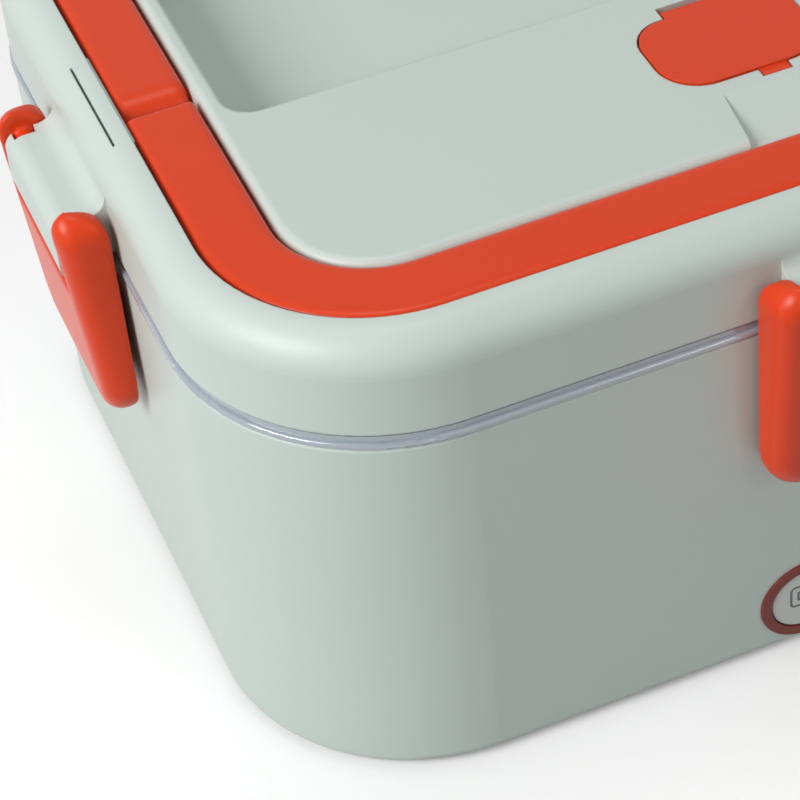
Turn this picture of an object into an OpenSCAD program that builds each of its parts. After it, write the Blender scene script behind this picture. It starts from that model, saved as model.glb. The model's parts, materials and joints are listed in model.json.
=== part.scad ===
// Electric lunch box: a heated body with a lift-out steel tray, a clear inner lid and an outer lid
// that carries four latches, a fold-down carry handle, a cutlery well and a steam vent flap.
// Millimetres, +Z up, origin at the bottom centre, front towards -Y.

/* [Box] */
// Length along X, over the side walls
box_l = 241; // [225:1:260]
// Depth along Y, over the front and back walls
box_w = 180; // [172:1:200]
// Radius of the upright corners
corner_r = 43; // [38:1:48]
// Height of the body's rim above the table
body_top = 89; // [86:1:110]
// How far the walls lean in between rim and base
body_draft = 0.9; // [0.4:0.1:1.4]
// Wall of the outer body
body_wall = 2.6; // [2:0.1:3]
// Radius of the edge round the base
base_edge_r = 2.4; // [1:0.1:3]

/* [Lid] */
// Height of the lid from its skirt to its top
lid_h = 21.5; // [20:0.1:26]
// Visible height of the clear inner lid between body and lid
clear_band = 3.2; // [2.6:0.1:4]
// Radius between the lid's side and its top
lid_edge_r = 8; // [7:0.5:8]
// Wall of the lid moulding
lid_wall = 2.2; // [1.8:0.1:2.6]
// Width of the groove that holds the handle and the front trim
groove_w = 15.4; // [14:0.1:17]
// How far the plateau lies below the lid's edge
plateau_drop = 0.8; // [0.4:0.1:1.5]

/* [Cutlery well] */
// Margin of the well from the groove
well_margin = 4.1; // [3.5:0.1:8]
// Front edge of the well, measured along Y
well_front_y = -13.6; // [-16:0.2:0]
// Radius of the well's front corners
well_corner_r = 6; // [3:0.5:10]
// Depth of the well below the plateau
well_depth = 14; // [8:0.5:14]

/* [Handle] */
// Thickness of the handle and the trim
band_t = 8; // [7:0.2:8.4]
// Gap on each side of the handle in its groove
band_gap = 0.7; // [0.6:0.1:0.9]
// Place of the handle's pivot along Y
pivot_y = 2; // [0:0.5:6]
// Radius of the handle's rounded ends
handle_end_r = 5.8; // [5:0.1:6]
// Diameter of the handle's pivot pins
pivot_d = 5; // [4:0.2:6]
// Length of the slit that lets the pivot wall give
slit_l = 27; // [20:1:34]

/* [Latches] */
// Width of a latch
latch_w = 44; // [42:1:52]
// Height of a latch from its foot to the tops of its ears
latch_h = 53.6; // [50:0.2:54]
// Thickness of a latch at its shoulder
latch_t = 10; // [9.4:0.2:10]
// Thickness of a latch at its foot
latch_foot_t = 6.2; // [6:0.2:8]
// Width of the lid's hinge knuckle between the ears
knuckle_w = 33; // [28:1:34]
// Diameter of the latch's pivot pins
latch_pin_d = 2.6; // [2.2:0.2:2.8]

/* [Vent] */
// Width of the vent flap
vent_w = 32.4; // [28:0.2:36]
// Depth of the vent flap
vent_l = 21.8; // [19:0.2:23]
// Front edge of the vent flap, measured along Y
vent_front_y = -47.1; // [-48:0.1:-46]
// Diameter of the steam hole
vent_hole_d = 8; // [5:0.5:9]

/* [Controls] */
// Width of the control panel's ring
panel_w = 40.4; // [36:0.2:48]
// Height of the control panel's ring
panel_h = 19.6; // [16:0.2:19.8]
// Width of the ring's band
panel_ring = 2.2; // [1.6:0.1:2.6]
// Travel of a key
key_travel = 0.8; // [0.5:0.1:1]

/* [Tray and heater] */
// Steel of the food tray
tray_t = 0.8; // [0.6:0.1:1]
// Gap between the body's wall and the well liner
liner_gap = 9.4; // [8:0.2:12]
// Wall of the well liner
liner_t = 2; // [1.6:0.1:2.4]
// Height of the liner's floor above the table
liner_z = 24; // [23:0.5:28]
// Length of the heating plate
plate_l = 150; // [120:1:160]
// Width of the heating plate
plate_w = 90; // [70:1:100]
// Thickness of the heating plate
plate_t = 2.5; // [2:0.1:3]

/* [Hidden] */
$fn = 64;
eps = 0.01;
clear = 0.3;            // running and seating clearance between moulded pieces
foot_h = 1;             // the feet stand this far below the base
sage = [0.80, 0.83, 0.79];
orange = [0.87, 0.31, 0.18];
grey = [0.45, 0.46, 0.46];
steel = [0.78, 0.79, 0.80];

// heights
skirt_z = body_top + clear_band;
lid_top = skirt_z + lid_h;
plateau_z = lid_top - plateau_drop;
band_top = lid_top - 0.4;
groove_z = band_top - band_t - 0.9;
well_z = plateau_z - well_depth;
liner_panel_t = 1.6;
liner_panel_z = skirt_z + 1.2;
pivot_z = band_top - handle_end_r;
end_play = 1.3;         // gap between the handle's ends and the front trim

// the groove's two walls, measured inwards from the lid's side
groove_out = lid_edge_r;
groove_in = groove_out + groove_w;
band_out = groove_out + band_gap;
band_in = groove_in - band_gap;
band_w = band_in - band_out;
well_in = groove_in + well_margin;

// ---------- shapes that repeat ----------

module rrect(l, w, r) {
  square([l - 2 * r, w], center = true);
  square([l, w - 2 * r], center = true);
  for (x = [-1, 1], y = [-1, 1]) translate([x * (l / 2 - r), y * (w / 2 - r)]) circle(r);
}

// plan outline of the box, pulled in by d
module plan(d) {
  rrect(box_l - 2 * d, box_w - 2 * d, corner_r - d);
}

module plate(d, z0, z1) {
  translate([0, 0, z0]) linear_extrude(z1 - z0) plan(d);
}

// sweeps a 2D section round a rounded rectangle with its four corner radii, from the back right
// corner anticlockwise; the section's x is measured outwards from the rectangle, y is the height
module sweep(l, w, radii) {
  for (i = [0:3]) {
    normal = (i % 2 == 0 ? l : w) / 2;
    along = (i % 2 == 0 ? w : l) / 2;
    last = radii[(i + 3) % 4];
    rotate([0, 0, 90 * i]) translate([normal, along - radii[i], 0]) {
      rotate([90, 0, 0]) linear_extrude(2 * along - radii[i] - last) children();
      translate([-radii[i], 0, 0]) rotate_extrude(angle = 90) translate([radii[i], 0]) children();
    }
  }
}

module around() {
  sweep(box_l, box_w, [corner_r, corner_r, corner_r, corner_r]) children();
}

// 2D band of a section between depths d0 and d1 inside the wall
module band(d0, d1, z0, z1) {
  translate([-d1, z0]) square([d1 - d0, z1 - z0]);
}

// what a convex corner loses when it is rounded; sx and sz point out of the corner
module rounding(x, z, r, sx, sz) {
  translate([x, z]) difference() {
    translate([sx > 0 ? -r : -1, sz > 0 ? -r : -1]) square([r + 1, r + 1]);
    translate([-sx * r, -sz * r]) circle(r);
  }
}

// direction of the outer tangent's normal, from circle a to circle b, each [x, y, radius]
function tangent(a, b) =
  let (step = [b[0] - a[0], b[1] - a[1]])
  atan2(step[1], step[0]) - acos((a[2] - b[2]) / norm(step));

// outline wrapped round circles that are listed anticlockwise
module wrap(circles) {
  n = len(circles);
  polygon([for (i = [0:n - 1], j = [i, (i + 1) % n])
    let (out = tangent(circles[i], circles[(i + 1) % n]))
    [circles[j][0] + circles[j][2] * cos(out), circles[j][1] + circles[j][2] * sin(out)]]);
  for (at = circles) translate([at[0], at[1]]) circle(at[2]);
}

// rounded bar section
module bar(w, h, r) {
  translate([r, 0]) square([w - 2 * r, h]);
  translate([0, r]) square([w, h - 2 * r]);
  for (x = [r, w - r], y = [r, h - r]) translate([x, y]) circle(r);
}

// copies a shape to both sides of the middle plane, or to the four corners, at these distances
module at_sides(x, y = 0, z = 0) {
  for (s = [-1, 1]) translate([s * x, y, z]) children();
}

module at_corners(x, y, z = 0) {
  for (sx = [-1, 1], sy = [-1, 1]) translate([sx * x, sy * y, z]) children();
}

// puts a piece drawn on the front wall, with the wall at y = 0, on side k of the box
module on_side(k) {
  half = (k % 2 == 0 ? box_w : box_l) / 2;
  rotate([0, 0, 90 * k]) translate([0, -half, 0]) children();
}

module capsule(w, h) {
  square([w - h, h], center = true);
  for (x = [-1, 1]) translate([x * (w - h) / 2, 0]) circle(h / 2);
}

// extrudes a front-view outline from y0 to y1
module front_solid(y0, y1) {
  translate([0, y1, 0]) rotate([90, 0, 0]) linear_extrude(y1 - y0) children();
}

// ---------- body ----------

base_z = foot_h;
floor_z = base_z + body_wall;
seam_r = 0.8;           // radius of the two edges at the seam
panel_z = base_z + 12.2;
inner_w = panel_w - 2 * panel_ring;
inner_h = panel_h - 2 * panel_ring;
ring_depth = 2;
rib_z = 60;             // underside of the latch ribs
rib_h = 5;
rib_out = 1.5;
rib_w = 24;
inlet_z = base_z + 12.2;
inlet_w = 30;
inlet_h = 16;
inlet_r = 4;
screw_in = 36;          // the case screws' distance in from the walls
screw_x = box_l / 2 - screw_in;
screw_y = box_w / 2 - screw_in;
screw_d = 3;
screw_l = 11;
screw_head_d = 6;
screw_head_h = 1;
screw_seat = base_z + 1.6;
boss_r = 4.4;
boss_top = base_z + 6;
foot_r = 7;
foot_t = 2;
board_y = 12;
board_l = 48;
board_h = 17;
board_t = 1.6;
post_w = 2;

module body_section() {
  low = base_z + base_edge_r;
  difference() {
    union() {
      polygon([[-body_draft - body_wall, low], [-body_draft, low], [0, body_top], [-body_wall, body_top]]);
      translate([-body_draft - base_edge_r, low]) circle(base_edge_r);
      band(body_draft + base_edge_r, body_draft + base_edge_r + 6, base_z, floor_z);
    }
    band(body_draft + body_wall, body_draft + body_wall + 3, floor_z, floor_z + 4);
    rounding(0, body_top, seam_r, 1, 1);
  }
}

module latch_rib() {
  translate([-rib_w / 2, -rib_out, rib_z]) cube([rib_w, rib_out + 1.6, rib_h]);
}

module outer_body() {
  color(sage) difference() {
    union() {
      around() body_section();
      plate(body_draft + base_edge_r + 2, base_z, floor_z);
      for (k = [0:3]) on_side(k) latch_rib();
      at_corners(screw_x, screw_y, base_z) cylinder(r = boss_r + 1.6, h = boss_top - base_z);
      // posts that hold the control board
      at_sides(board_l / 2 - post_w, -box_w / 2 + board_y + board_t + 2, floor_z + 6)
        cube([post_w, 4, 14], center = true);
    }
    // opening of the control panel, stepped to seat its ring
    translate([0, -box_w / 2, panel_z]) {
      front_solid(-1, 4) capsule(inner_w, inner_h);
      front_solid(-1, ring_depth) capsule(panel_w + 2 * eps, panel_h + 2 * eps);
    }
    // opening of the power inlet
    translate([0, box_w / 2, inlet_z]) front_solid(-4, 1) rrect(inlet_w, inlet_h, inlet_r);
    // seats of the feet, counterbores and holes of the case screws
    at_corners(screw_x, screw_y) {
      cylinder(r = foot_r + clear, h = foot_t);
      cylinder(d = screw_head_d + 1, h = screw_seat + screw_head_h);
      cylinder(d = screw_d + 0.6, h = boss_top + 5);
    }
  }
}

module feet() {
  color(grey) at_corners(screw_x, screw_y) cylinder(r = foot_r, h = foot_t);
}

module case_screws() {
  color(steel) at_corners(screw_x, screw_y, screw_seat) {
    cylinder(d = screw_head_d, h = screw_head_h);
    cylinder(d = screw_d, h = screw_l);
  }
}

// ---------- well liner, plate and tray ----------

liner_out = body_wall + liner_gap;
liner_in = liner_out + liner_t;
flange_top = body_top - 1.4;
flange_t = 1.8;
plate_r = 20;
ledge = 6;              // width of the liner's ledge that carries the heating plate
tray_gap = 1.2;
tray_out = liner_in + tray_gap;
tray_base = liner_z + plate_t + 0.1;
tray_rim_in = tray_out - 7;
tray_r = 5;             // inside radius between the tray's floor and walls

module well_liner() {
  color([0.86, 0.87, 0.85]) difference() {
    union() {
      around() {
        band(body_wall + clear, liner_out + 1, flange_top - flange_t, flange_top);
        band(liner_out, liner_in, liner_z - liner_t, flange_top);
        band(liner_out + 1, liner_in + 4, liner_z - liner_t, liner_z);
      }
      plate(liner_in, liner_z - liner_t, liner_z);
      at_corners(screw_x, screw_y, boss_top) cylinder(r = boss_r, h = liner_z - liner_t + 1 - boss_top);
    }
    // opening under the heating plate
    translate([0, 0, liner_z - liner_t - 1]) linear_extrude(liner_t + 2)
      rrect(plate_l - 2 * ledge, plate_w - 2 * ledge, plate_r - ledge);
    at_corners(screw_x, screw_y, boss_top - 1) cylinder(d = screw_d, h = screw_l - 2);
  }
}

heater_l = plate_l - 60;
heater_w = plate_w - 50;
heater_t = 6;
terminal_l = 9;
terminal_w = 2;
terminal_t = 0.8;
terminal_drop = 4;      // underside of the terminals below the plate
stud_y = heater_w / 2 + 10;
stud_d = 4;
stud_l = 11;
stud_hole_d = stud_d + 0.2;
gasket_w = 4;
gasket_t = 1.6;
clamp_w = 16;
clamp_t = 1.5;
clamp_end = 6;          // length of the strap past each stud
clamp_fold = 2;         // depth of the strap's folded edges
clamp_z = liner_z - heater_t - clamp_t;
nut_d = 7.4;
nut_t = 2.6;
thermostat_r = 8;
thermostat_t = 7;
fuse_r = 2.5;
fuse_l = 18;
lead_l = 5;
lead_d = 1.2;
part_gap = 2;           // gap between the heater and its neighbours under the plate

module heating_plate() {
  color(steel) {
    translate([0, 0, liner_z]) linear_extrude(plate_t) rrect(plate_l, plate_w, plate_r);
    for (s = [-1, 1]) translate([0, s * stud_y, liner_z - stud_l]) cylinder(d = stud_d, h = stud_l + 1);
  }
}

module plate_gasket() {
  outer = ledge + 0.2;
  inner = outer + gasket_w;
  color([0.6, 0.3, 0.25]) translate([0, 0, liner_z - gasket_t]) linear_extrude(gasket_t) difference() {
    rrect(plate_l - 2 * outer, plate_w - 2 * outer, plate_r - outer);
    rrect(plate_l - 2 * inner, plate_w - 2 * inner, plate_r - inner);
  }
}

module ptc_heater() {
  color([0.35, 0.35, 0.37]) {
    translate([-heater_l / 2, -heater_w / 2, liner_z - heater_t]) cube([heater_l, heater_w, heater_t]);
    for (s = [-1, 1]) translate([heater_l / 2, s * 3 * terminal_w - terminal_w / 2, liner_z - terminal_drop])
      cube([terminal_l, terminal_w, terminal_t]);
  }
}

// pressed strap with two folded edges that holds the heater against the plate
module heater_clamp() {
  l = 2 * (stud_y + clamp_end);
  color(steel) difference() {
    union() {
      translate([-clamp_w / 2, -l / 2, clamp_z]) cube([clamp_w, l, clamp_t]);
      for (s = [-1, 1]) translate([s * (clamp_w - clamp_t) / 2 - clamp_t / 2, -l / 2, clamp_z - clamp_fold])
        cube([clamp_t, l, clamp_fold + eps]);
    }
    for (s = [-1, 1]) translate([0, s * stud_y, clamp_z - 1]) cylinder(d = stud_hole_d, h = clamp_t + 2);
  }
}

module clamp_nuts() {
  color(steel) for (s = [-1, 1]) translate([0, s * stud_y, clamp_z - nut_t]) difference() {
    cylinder(d = nut_d, h = nut_t, $fn = 6);
    translate([0, 0, -1]) cylinder(d = stud_hole_d, h = nut_t + 2);
  }
}

module thermostat() {
  tab = [3, 0.8, 8.5];
  color([0.25, 0.25, 0.27]) translate([-heater_l / 2 - part_gap - thermostat_r, 0, liner_z]) {
    translate([0, 0, -thermostat_t]) cylinder(r = thermostat_r, h = thermostat_t);
    for (s = [-1, 1]) translate([0, s * 5, -thermostat_t - tab[2] / 2 + 0.5]) cube(tab, center = true);
  }
}

module thermal_fuse() {
  x = heater_l / 2 + terminal_l + part_gap + fuse_r;
  color([0.85, 0.85, 0.8]) translate([x, -fuse_l / 2, liner_z - fuse_r]) rotate([-90, 0, 0]) {
    cylinder(r = fuse_r, h = fuse_l);
    translate([0, 0, -lead_l]) cylinder(d = lead_d, h = fuse_l + 2 * lead_l);
  }
}

module food_tray() {
  color(steel) {
    around() {
      band(tray_out, tray_out + tray_t, tray_base + tray_r, flange_top + tray_t);
      band(tray_rim_in, tray_out + eps, flange_top, flange_top + tray_t);
      intersection() {
        translate([-tray_out - tray_r, tray_base + tray_r]) difference() {
          circle(tray_r);
          circle(tray_r - tray_t);
        }
        translate([-tray_out - tray_r, tray_base]) square([tray_r, tray_r]);
      }
    }
    plate(tray_out + tray_r - eps, tray_base, tray_base + tray_t);
  }
}

// ---------- clear inner lid ----------

inner_t = 1.8;
inner_edge = 0.5;       // the clear edge stands back by this much from the walls
lip_out = 0.4;          // its lower lip stands proud by this much
lip_h = 1.7;
lip_r = 0.8;
inner_step = 13;
inner_web = 3;          // width of the raised rim that the lid's seal presses on
inner_top = skirt_z - 0.2;
inner_plate_z = body_top + 0.8;
steam_d = 5;
grip = [46, 20, 8];     // length, width and corner radius of the ring to grip the lid by
grip_w = 2;

module inner_lid() {
  color([0.85, 0.9, 0.92, 0.5]) difference() {
    union() {
      around() {
        band(inner_edge, body_wall + 1.4, body_top, inner_top);
        difference() {
          band(-lip_out, body_wall + 1.4, body_top, body_top + lip_h);
          for (s = [-1, 1]) rounding(lip_out, s > 0 ? body_top + lip_h : body_top, lip_r, 1, s);
        }
        band(body_wall, inner_step + inner_web, body_top, body_top + inner_t);
        band(inner_step, inner_step + inner_web, body_top, inner_top);
      }
      plate(inner_step + inner_web - 0.1, inner_plate_z, inner_plate_z + inner_t);
      translate([0, 0, inner_plate_z + inner_t - eps]) linear_extrude(0.9) difference() {
        rrect(grip[0], grip[1], grip[2]);
        rrect(grip[0] - 2 * grip_w, grip[1] - 2 * grip_w, grip[2] - grip_w);
      }
    }
    translate([0, vent_y, body_top - 1]) cylinder(d = steam_d, h = 8);
  }
}

module inner_seal() {
  color([0.9, 0.9, 0.88]) around() band(tray_rim_in + 0.6, tray_rim_in + 5, flange_top + tray_t, body_top);
}

// ---------- outer lid ----------

vent_y = vent_front_y + vent_l / 2;
vent_floor = plateau_z - 2.8;
scoop_back = 8.2;       // half the finger scoop's width at its back and front ends
scoop_front = 10.4;
scoop_y = vent_front_y - 4;
scoop_drop = 2.2;
scoop_angle = atan(scoop_drop / (scoop_y + box_w / 2 - groove_in));
notch_w = 44;           // width of the finger notch behind the handle
rest_x = 50;            // place of the handle's rests
slit_in = 4.6;          // the slits' distance in from the side walls
slit_w = 0.5;
spring_t = 0.45;        // the pivot walls stand this far into the groove
lug_in = 20.6;          // the lugs' distance in from the walls
lug_places = [for (x = [-1, 1], y = [-1, 1], at = [[60, box_w / 2 - lug_in], [box_l / 2 - lug_in, 36]])
  [x * at[0], y * at[1]]];
lid_screw_d = 2.2;
lid_screw_l = 6;
lid_head_d = 5;
lid_head_h = 1;
pin_clear = 0.07;       // radial running clearance of a pin in its hole
plateau_r = 2;          // radius of the plateau's edge
well_edge_r = 1.2;

// section of the lid's shoulder, rounded from its side to its top; d shrinks it by a wall
module shoulder(d) {
  band(d, groove_out - d, skirt_z - d, lid_top - lid_edge_r);
  translate([-lid_edge_r, lid_top - lid_edge_r]) intersection() {
    circle(lid_edge_r - d);
    translate([d, 0]) square(lid_edge_r);
  }
}

module lid_section() {
  // outer shoulder, hollow from below, from the skirt to the groove
  difference() {
    shoulder(0);
    shoulder(lid_wall);
    band(lid_wall, groove_out, skirt_z - 1, groove_z - lid_wall);
    rounding(0, skirt_z, seam_r, 1, -1);
  }
  // groove floor and inner wall
  band(groove_out - lid_wall, groove_in + lid_wall, groove_z - lid_wall, groove_z);
  difference() {
    band(groove_in, groove_in + lid_wall, groove_z - lid_wall, plateau_z);
    rounding(-groove_in, plateau_z, plateau_r, 1, 1);
  }
}

well_l = box_l - 2 * well_in;
well_w = box_w / 2 - well_in - well_front_y;
well_y = well_front_y + well_w / 2;
well_radii = [corner_r - well_in, corner_r - well_in, well_corner_r, well_corner_r];

// outline of the cutlery well, grown by d
module well_plan(d) {
  l = well_l + 2 * d;
  w = well_w + 2 * d;
  translate([0, well_y]) {
    square([l - 2 * (well_radii[0] + d), w], center = true);
    translate([-l / 2, -w / 2 + well_radii[2] + d]) square([l, w - well_radii[0] - well_radii[2] - 2 * d]);
    for (s = [-1, 1]) {
      translate([s * (l / 2 - well_radii[0] - d), w / 2 - well_radii[0] - d]) circle(well_radii[0] + d);
      translate([s * (l / 2 - well_radii[2] - d), -w / 2 + well_radii[2] + d]) circle(well_radii[2] + d);
    }
    translate([-l / 2 + well_radii[2] + d, -w / 2]) square([l - 2 * (well_radii[2] + d), w / 2]);
  }
}

latch_top = skirt_z + 14;
latch_foot = latch_top - latch_h;
hinge_out = 7;          // the hinge's distance out from the lid's side
hinge_z = latch_top - 6.6;
knuckle_out = 11;
knuckle_hi = hinge_z + 2.4;
knuckle_lo = hinge_z - 11.6;
knuckle_r = 3.6;
knuckle_gap = 0.9;      // between the knuckle's foot and the body
valley_r = 4;           // hollow between the knuckle's top and the lid
pin_l = 5;              // length of a latch pin inside the knuckle
collar_r = 2.1;         // round collar at the root of each pin
collar_l = 2.4;
collar_gap = 0.2;       // clearance round a collar
collar_way = 10;        // height of the way by which a collar drops into its seat

// side view: x is the distance out from the wall, y is the height
module knuckle_profile() {
  translate([-1, skirt_z]) square([knuckle_out + 1 - knuckle_r, knuckle_hi - skirt_z]);
  w = knuckle_out - knuckle_gap;
  h = knuckle_hi - knuckle_lo;
  translate([knuckle_gap, knuckle_lo]) {
    square([w - knuckle_r, h]);
    translate([0, knuckle_r]) square([w, h - 2 * knuckle_r]);
    for (z = [knuckle_r, h - knuckle_r]) translate([w - knuckle_r, z]) circle(knuckle_r);
  }
  difference() {
    translate([-1, knuckle_hi - 1]) square([valley_r + 1, valley_r + 1]);
    translate([valley_r, knuckle_hi + valley_r]) circle(valley_r);
  }
}

// turns a side-view outline (x out from the wall, y up) into a solid w wide on the front wall
module side_solid(w) {
  translate([-w / 2, 0, 0]) rotate([90, 0, -90]) mirror([0, 0, 1]) linear_extrude(w) children();
}

// puts a shape at both hinge ends of a latch, its z along the pin, towards the knuckle's middle
module hinge_ends() {
  for (s = [-1, 1]) translate([s * knuckle_w / 2, -hinge_out, hinge_z]) rotate([0, -s * 90, 0]) children();
}

module knuckle() {
  difference() {
    side_solid(knuckle_w - 2 * clear) knuckle_profile();
    hinge_ends() {
      cylinder(d = latch_pin_d + 2 * pin_clear, h = pin_l + clear);
      cylinder(r = collar_r + collar_gap, h = collar_l + collar_gap);
    }
    // slots over the collars
    for (s = [-1, 1]) translate([s * (knuckle_w - collar_l) / 2, -hinge_out, hinge_z + collar_way / 2])
      cube([collar_l + 2 * collar_gap, 2 * (collar_r + collar_gap), collar_way], center = true);
  }
}

module pivot_places() {
  for (s = [-1, 1]) translate([s * (box_l / 2 - groove_out - groove_w / 2), pivot_y, pivot_z])
    rotate([0, 90, 0]) children();
}

module outer_lid() {
  color(sage) difference() {
    union() {
      around() lid_section();
      plate(groove_in + lid_wall - eps, plateau_z - lid_wall, plateau_z);
      // walls and floor of the cutlery well
      translate([0, 0, well_z - lid_wall]) linear_extrude(well_depth + lid_wall - 1) well_plan(lid_wall);
      // pocket under the vent flap
      translate([0, 0, vent_floor - lid_wall]) linear_extrude(lid_wall + 1) {
        vent_plan(2);
        translate([-tab_w / 2 - 4, vent_hinge_y - 4]) square([tab_w + 8, 8]);
      }
      // cradles round the handle's ends, below the groove
      intersection() {
        pivot_places()
          cylinder(r = handle_end_r + clear + lid_wall, h = groove_w + 2 * lid_wall, center = true);
        translate([-box_l / 2, -box_w / 2, skirt_z]) cube([box_l, box_w, groove_z - skirt_z]);
      }
      // the part of each groove wall that holds a pivot and gives
      at_sides(box_l / 2 - groove_out, pivot_y, (groove_z + band_top) / 2)
        cube([2 * spring_t, slit_l + 2, band_top - groove_z + 2 * eps], center = true);
      // rests for the handle's back run
      at_sides(rest_x, (box_w - band_in - band_out) / 2, groove_z)
        cube([10, band_w - 6, 2 * (band_top - band_t - groove_z)], center = true);
      for (k = [0:3]) on_side(k) knuckle();
      // screw lugs for the liner
      for (at = lug_places) translate([at[0], at[1], liner_panel_z + liner_panel_t])
        cylinder(r = 3, h = groove_z - liner_panel_z - liner_panel_t - 1);
    }
    translate([0, 0, well_z]) linear_extrude(40) well_plan(0);
    translate([0, well_y, 0]) sweep(well_l, well_w, well_radii) rounding(0, plateau_z, well_edge_r, -1, 1);
    translate([0, 0, vent_floor]) linear_extrude(10) {
      for (y = [0, 0.4]) translate([0, y]) vent_plan(clear);
      translate([-tab_w / 2 - clear, vent_hinge_y - 3]) square([tab_w + 2 * clear, 5]);
    }
    translate([0, vent_y, vent_floor - 5]) cylinder(d = vent_hole_d, h = 8);
    // finger scoop in front of the vent flap
    intersection() {
      translate([0, scoop_y, plateau_z]) rotate([scoop_angle, 0, 0]) translate([-20, -30, 0])
        cube([40, 30, 8]);
      translate([0, 0, groove_z]) linear_extrude(20)
        polygon([[-scoop_back, scoop_y + 1], [scoop_back, scoop_y + 1],
          [scoop_front, groove_in - box_w / 2 - 1], [-scoop_front, groove_in - box_w / 2 - 1]]);
    }
    // notch that lets a finger under the handle's back run
    translate([-notch_w / 2, box_w / 2 - groove_in - 8, groove_z]) cube([notch_w, 9, 20]);
    // nub notch and pin holes of the vent flap
    translate([nub_x - nub_w / 2 - clear, vent_front_y - nub_out - clear, vent_floor])
      cube([nub_w + 2 * clear, 6, 8]);
    translate([0, vent_hinge_y, vent_hinge_z]) rotate([0, 90, 0])
      cylinder(d = vent_pin_d + 2 * pin_clear, h = vent_pin_l + 2 * clear, center = true);
    // room for the handle's ends and its pivot holes
    pivot_places() {
      cylinder(r = handle_end_r + clear, h = groove_w - 2 * spring_t, center = true);
      cylinder(d = pivot_d + 2 * pin_clear, h = groove_w + 5, center = true);
    }
    // slits that let the pivot walls give
    at_sides(box_l / 2 - slit_in, pivot_y, groove_z + 11) cube([slit_w, slit_l, 20], center = true);
    for (at = lug_places) translate([at[0], at[1], liner_panel_z + 1])
      cylinder(d = lid_screw_d, h = lid_screw_l);
  }
}

seal_rib = 1.2;

module lid_liner() {
  color([0.9, 0.9, 0.88]) difference() {
    union() {
      plate(lid_wall + 3.4, liner_panel_z, liner_panel_z + liner_panel_t);
      // two ribs that hold the seal
      around() {
        band(inner_step - seal_rib, inner_step, skirt_z, liner_panel_z + eps);
        band(inner_step + inner_web, inner_step + inner_web + seal_rib, skirt_z, liner_panel_z + eps);
      }
    }
    for (at = lug_places) translate([at[0], at[1], liner_panel_z - 1]) cylinder(d = 2.8, h = 6);
    translate([0, vent_y, liner_panel_z - 1]) cylinder(d = vent_hole_d, h = 6);
  }
}

module lid_seal() {
  color([0.92, 0.92, 0.9]) around() band(inner_step, inner_step + inner_web, inner_top, liner_panel_z);
}

module lid_screws() {
  color(steel) for (at = lug_places) translate([at[0], at[1], liner_panel_z]) {
    translate([0, 0, -lid_head_h]) cylinder(d = lid_head_d, h = lid_head_h);
    cylinder(d = lid_screw_d, h = lid_screw_l);
  }
}

// ---------- band: fixed front trim and carry handle ----------

// section of the band, h high from its top
module band_section(h) {
  translate([-band_in, band_top - h]) bar(band_w, h, band_r);
}

band_r = 1.4;           // radius of the band's edges

module front_trim() {
  color(orange) difference() {
    intersection() {
      around() band_section(band_top - groove_z);
      translate([-box_l / 2, -box_w / 2, groove_z])
        cube([box_l, box_w / 2 + pivot_y - handle_end_r - end_play, 20]);
    }
    // cored from below
    around() band(band_out + 2.4, band_in - 2.4, groove_z - 1, band_top - 2.6);
  }
}

// round end of the handle with its two pivot pins
module handle_end() {
  rotate_extrude() {
    translate([0, -band_w / 2]) square([handle_end_r - band_r, band_w]);
    translate([0, -band_w / 2 + band_r]) square([handle_end_r, band_w - 2 * band_r]);
    for (y = [-1, 1]) translate([handle_end_r - band_r, y * (band_w / 2 - band_r)]) circle(band_r);
  }
  cylinder(d = pivot_d, h = band_w + 2 * (band_gap + lid_wall - 0.3), center = true);
}

module carry_handle() {
  color(orange) difference() {
    carry_bar();
    // hollow under the back run for the fingertips
    translate([-notch_w / 2 + 4, box_w / 2 - band_in - 1, band_top - band_t - 1]) cube([notch_w - 8, 5, 4]);
  }
}

module carry_bar() {
  union() {
    intersection() {
      around() band_section(band_t);
      translate([-box_l / 2, pivot_y, groove_z]) cube([box_l, box_w / 2 - pivot_y, 20]);
    }
    pivot_places() handle_end();
  }
}

// ---------- vent flap ----------

flap_t = 3;
flap_z = vent_floor + 0.2;
nub_w = 5.8;
nub_x = 3.9;
nub_out = 2.2;
tab_w = 16;             // width of the hinge tab behind the flap
vent_pin_d = 1.6;
vent_pin_l = tab_w + 4;
barrel_r = 1.3;
vent_hinge_y = vent_front_y + vent_l + 2.2;
vent_hinge_z = flap_z + barrel_r;
vent_front_r = 8.8;
vent_back_r = 7;

// outline of the vent flap, grown by d
module vent_plan(d) {
  front = [vent_w / 2 - vent_front_r, vent_front_y + vent_front_r];
  back = [vent_w / 2 - vent_back_r, vent_front_y + vent_l - vent_back_r];
  wrap([[-front[0], front[1], vent_front_r + d], [front[0], front[1], vent_front_r + d],
    [back[0], back[1], vent_back_r + d], [-back[0], back[1], vent_back_r + d]]);
}

module vent_flap() {
  color(orange) {
    translate([0, 0, flap_z]) linear_extrude(flap_t) vent_plan(0);
    translate([nub_x - nub_w / 2, vent_front_y - nub_out, flap_z + 0.6])
      cube([nub_w, nub_out + 2, flap_t - 1.2]);
    // hinge tab, barrel and pins
    translate([-tab_w / 2, vent_hinge_y - 4, flap_z]) cube([tab_w, 4, flap_t]);
    translate([0, vent_hinge_y, vent_hinge_z]) rotate([0, 90, 0]) {
      cylinder(r = barrel_r, h = tab_w, center = true);
      cylinder(d = vent_pin_d, h = vent_pin_l, center = true);
    }
    // plug that closes the steam hole
    translate([0, vent_y, flap_z - 2])
      cylinder(d1 = vent_hole_d - 1.6, d2 = vent_hole_d - 0.8, h = 2 + clear);
  }
}

// ---------- latches ----------

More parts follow.
